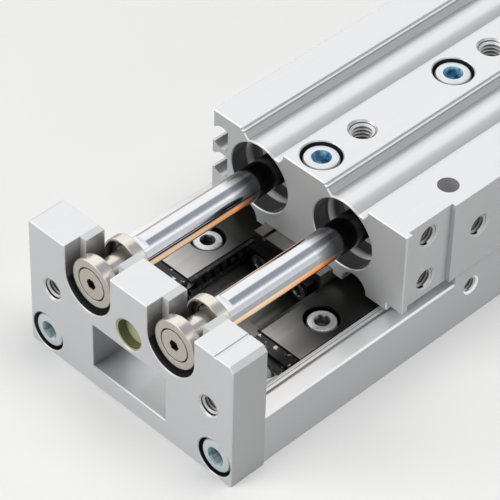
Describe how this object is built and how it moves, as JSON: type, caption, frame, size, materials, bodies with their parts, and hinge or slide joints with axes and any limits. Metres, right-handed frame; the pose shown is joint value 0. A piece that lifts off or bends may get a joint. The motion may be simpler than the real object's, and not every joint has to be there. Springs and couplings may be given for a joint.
{
  "type": "slide table cylinder",
  "caption": "Twin-rod pneumatic slide table: an extruded cylinder body over a ball-guided table with an end plate, table run out.",
  "frame": {"origin": "under the middle of the whole length, on the table's mounting face, table run out", "axes": "+Y from the end plate to the cylinder's rear, along the stroke; +Z from the table's mounting face to the cylinder's top; +X across"},
  "size_m": [0.064, 0.1562, 0.0395],
  "materials": {
    "anodised_aluminium": "satin clear anodised extrusion and plate",
    "machined_aluminium": "machined",
    "black_anodised": "black anodised",
    "ground_steel": "ground bearing steel",
    "chromed_steel": "hard chromed and polished",
    "nickel_plated_steel": "turned and nickel plated",
    "zinc_plated_steel": "bright zinc plated",
    "bright_steel_screws": "bright steel",
    "spring_steel": "phosphated spring steel",
    "black_resin": "moulded acetal",
    "nitrile_rubber": "moulded rubber",
    "olive_urethane": "translucent cast urethane",
    "magnet": "sintered ring magnet"
  },
  "bodies": {
    "cylinder": {"cylinder_body": "anodised_aluminium", "guide_rail": "ground_steel", "rail_stop_plate": "ground_steel", "rail_screws": "zinc_plated_steel", "rail_stop_screws": "bright_steel_screws", "rod_cover_left": "black_anodised", "rod_seal_left": "nitrile_rubber", "head_cap_left": "machined_aluminium", "front_retaining_ring_left": "spring_steel", "rear_retaining_ring_left": "spring_steel", "rod_cover_right": "black_anodised", "rod_seal_right": "nitrile_rubber", "head_cap_right": "machined_aluminium", "front_retaining_ring_right": "spring_steel", "rear_retaining_ring_right": "spring_steel", "rod_cover_o_rings": "nitrile_rubber", "head_cap_o_rings": "nitrile_rubber"},
    "table": {"slide_table": "anodised_aluminium", "end_plate": "anodised_aluminium", "end_plate_screws": "zinc_plated_steel", "end_bumper": "olive_urethane", "guide_block": "ground_steel", "guide_block_screws": "bright_steel_screws", "bearing_balls": "ground_steel", "ball_retainer_left": "black_resin", "ball_retainer_right": "black_resin", "end_cap_front": "black_resin", "end_cap_rear": "black_resin", "scraper_front": "black_resin", "scraper_rear": "black_resin", "end_cap_screws": "bright_steel_screws", "floating_bush_left": "nickel_plated_steel", "bush_screw_left": "nickel_plated_steel", "rod_collar_left": "nickel_plated_steel", "piston_rod_left": "chromed_steel", "piston_left": "machined_aluminium", "piston_seal_left": "nitrile_rubber", "piston_magnet_left": "magnet", "wear_ring_left": "black_resin", "piston_bumpers_left": "olive_urethane", "floating_bush_right": "nickel_plated_steel", "bush_screw_right": "nickel_plated_steel", "rod_collar_right": "nickel_plated_steel", "piston_rod_right": "chromed_steel", "piston_right": "machined_aluminium", "piston_seal_right": "nitrile_rubber", "piston_magnet_right": "magnet", "wear_ring_right": "black_resin", "piston_bumpers_right": "olive_urethane"}
  },
  "joints": [
    {"name": "table_slide", "type": "slide", "parent": "cylinder", "child": "table", "axis": [0, 1, 0], "range_m": [0, 0.04]}
  ]
}
